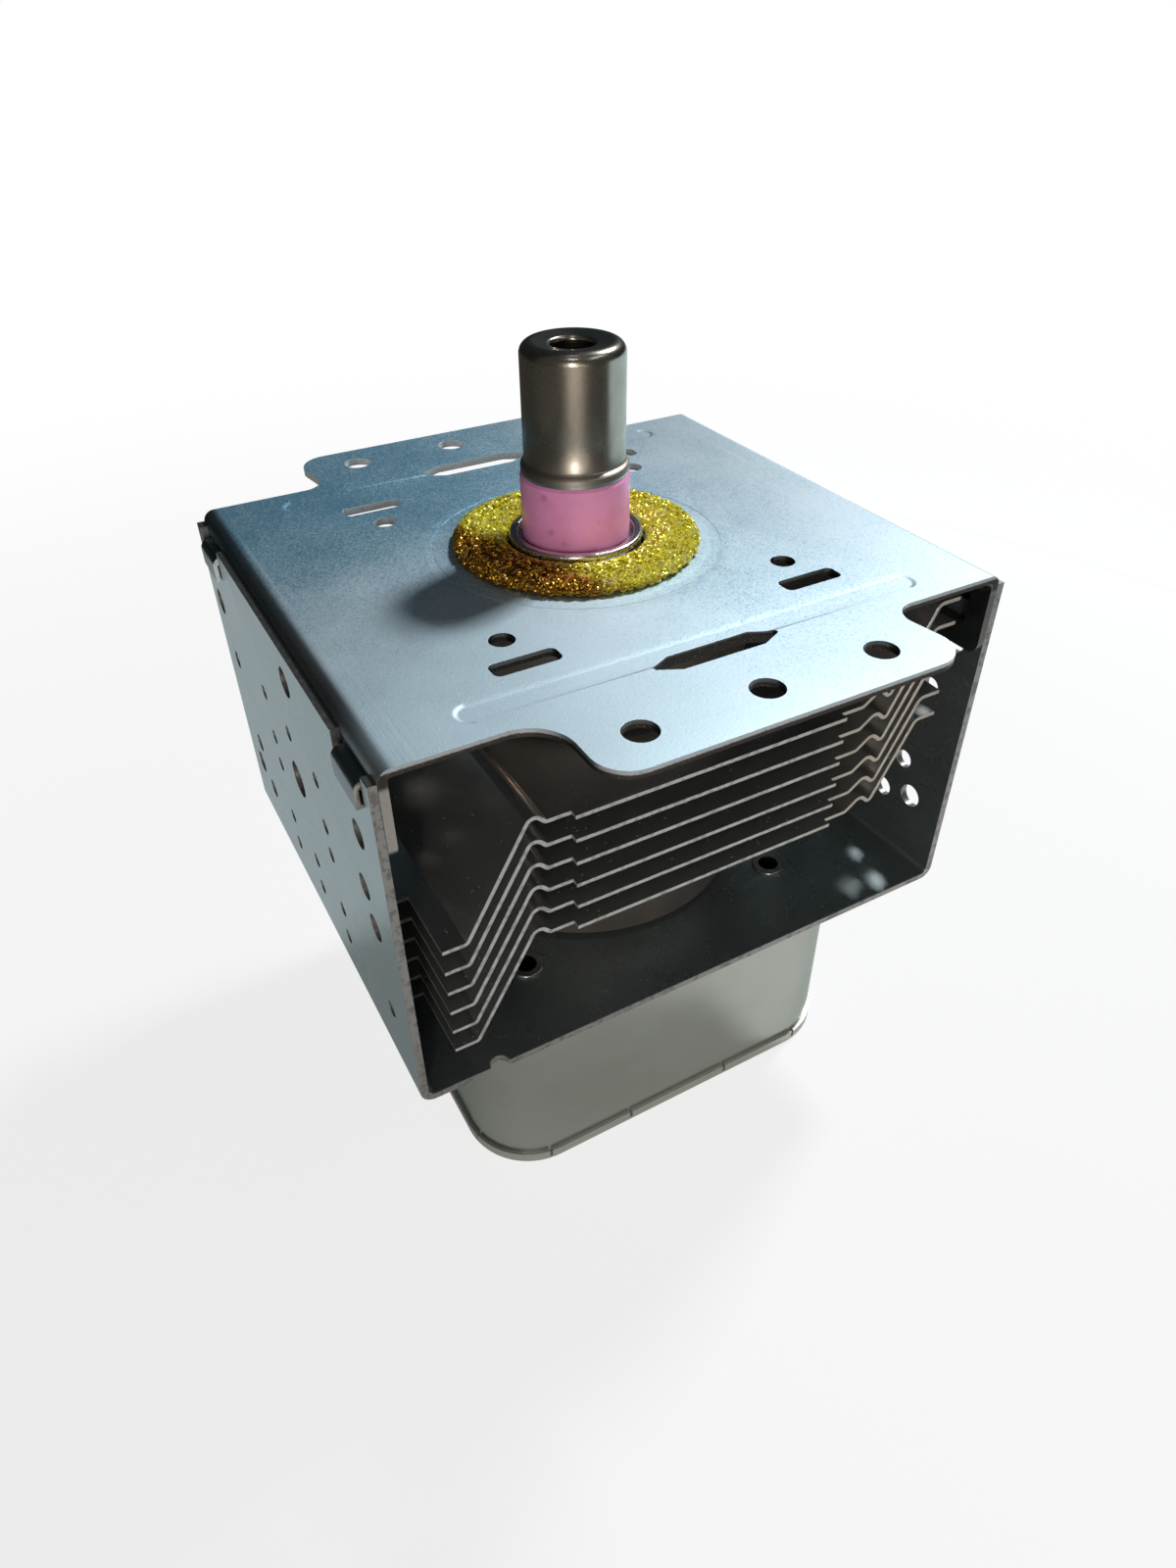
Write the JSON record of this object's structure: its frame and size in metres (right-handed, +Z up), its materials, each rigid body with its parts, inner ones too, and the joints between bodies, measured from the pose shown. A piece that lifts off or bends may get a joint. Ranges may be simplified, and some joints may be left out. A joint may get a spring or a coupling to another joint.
{
  "type": "magnetron",
  "caption": "Oven-type magnetron: finned anode between ring magnets in a folded steel yoke, capped antenna on top and a filter box below.",
  "frame": {"origin": "on the antenna's axis, in the upper face of the mounting plate, at the centre of its hole pattern", "axes": "+Z up along the antenna, +X across the folded walls, +Y to the back, where the supply terminals are"},
  "size_m": [0.0968, 0.1079, 0.1236],
  "materials": {
    "galvanised_plate": "galvanised, fine spangle",
    "galvanised_yoke": "galvanised, fine spangle",
    "gasket_mesh": "knitted wire",
    "seal_metal": "plated",
    "pink_ceramic": "matte",
    "cap_steel": "satin, turned",
    "copper": "bare",
    "ferrite": "matte",
    "pole_iron": "bare",
    "cathode_metal": "bare",
    "galvanised_box": "galvanised",
    "flange_steel": "plated",
    "insulator_plastic": "moulded",
    "feed_ceramic": "matte",
    "terminal_metal": "tinned",
    "fin_aluminium": "bare, bright"
  },
  "bodies": {
    "root": {"yoke_top_plate": "galvanised_plate", "yoke_frame": "galvanised_yoke", "rf_gasket": "gasket_mesh", "antenna_seal_cup": "seal_metal", "antenna_seal_collar": "seal_metal", "stem_seal_cup": "seal_metal", "stem_terminal_1": "seal_metal", "stem_terminal_2": "seal_metal", "antenna_ceramic": "pink_ceramic", "stem_ceramic": "pink_ceramic", "antenna_cap": "cap_steel", "exhaust_tube": "copper", "antenna_lead": "copper", "anode_shell": "copper", "strap_small_upper": "copper", "strap_large_upper": "copper", "strap_small_lower": "copper", "strap_large_lower": "copper", "choke_coil_1": "copper", "choke_coil_2": "copper", "vane_1": "copper", "vane_2": "copper", "vane_3": "copper", "vane_4": "copper", "vane_5": "copper", "vane_6": "copper", "vane_7": "copper", "vane_8": "copper", "vane_9": "copper", "vane_10": "copper", "upper_magnet": "ferrite", "lower_magnet": "ferrite", "choke_core_1": "ferrite", "choke_core_2": "ferrite", "pole_piece_upper": "pole_iron", "pole_piece_lower": "pole_iron", "filament": "cathode_metal", "end_hat_upper": "cathode_metal", "end_hat_lower": "cathode_metal", "cathode_lead_centre": "cathode_metal", "cathode_lead_side": "cathode_metal", "filter_box_case": "galvanised_box", "filter_box_lid": "galvanised_box", "feedthrough_flange": "flange_steel", "flange_rivets": "flange_steel", "feedthrough_insulator_outer": "insulator_plastic", "feedthrough_insulator_inner": "insulator_plastic", "feedthrough_ceramic": "feed_ceramic", "blade_terminal_1": "terminal_metal", "blade_terminal_2": "terminal_metal", "cooling_fin_1": "fin_aluminium", "cooling_fin_2": "fin_aluminium", "cooling_fin_3": "fin_aluminium", "cooling_fin_4": "fin_aluminium", "cooling_fin_5": "fin_aluminium", "cooling_fin_6": "fin_aluminium"}
  },
  "joints": []
}
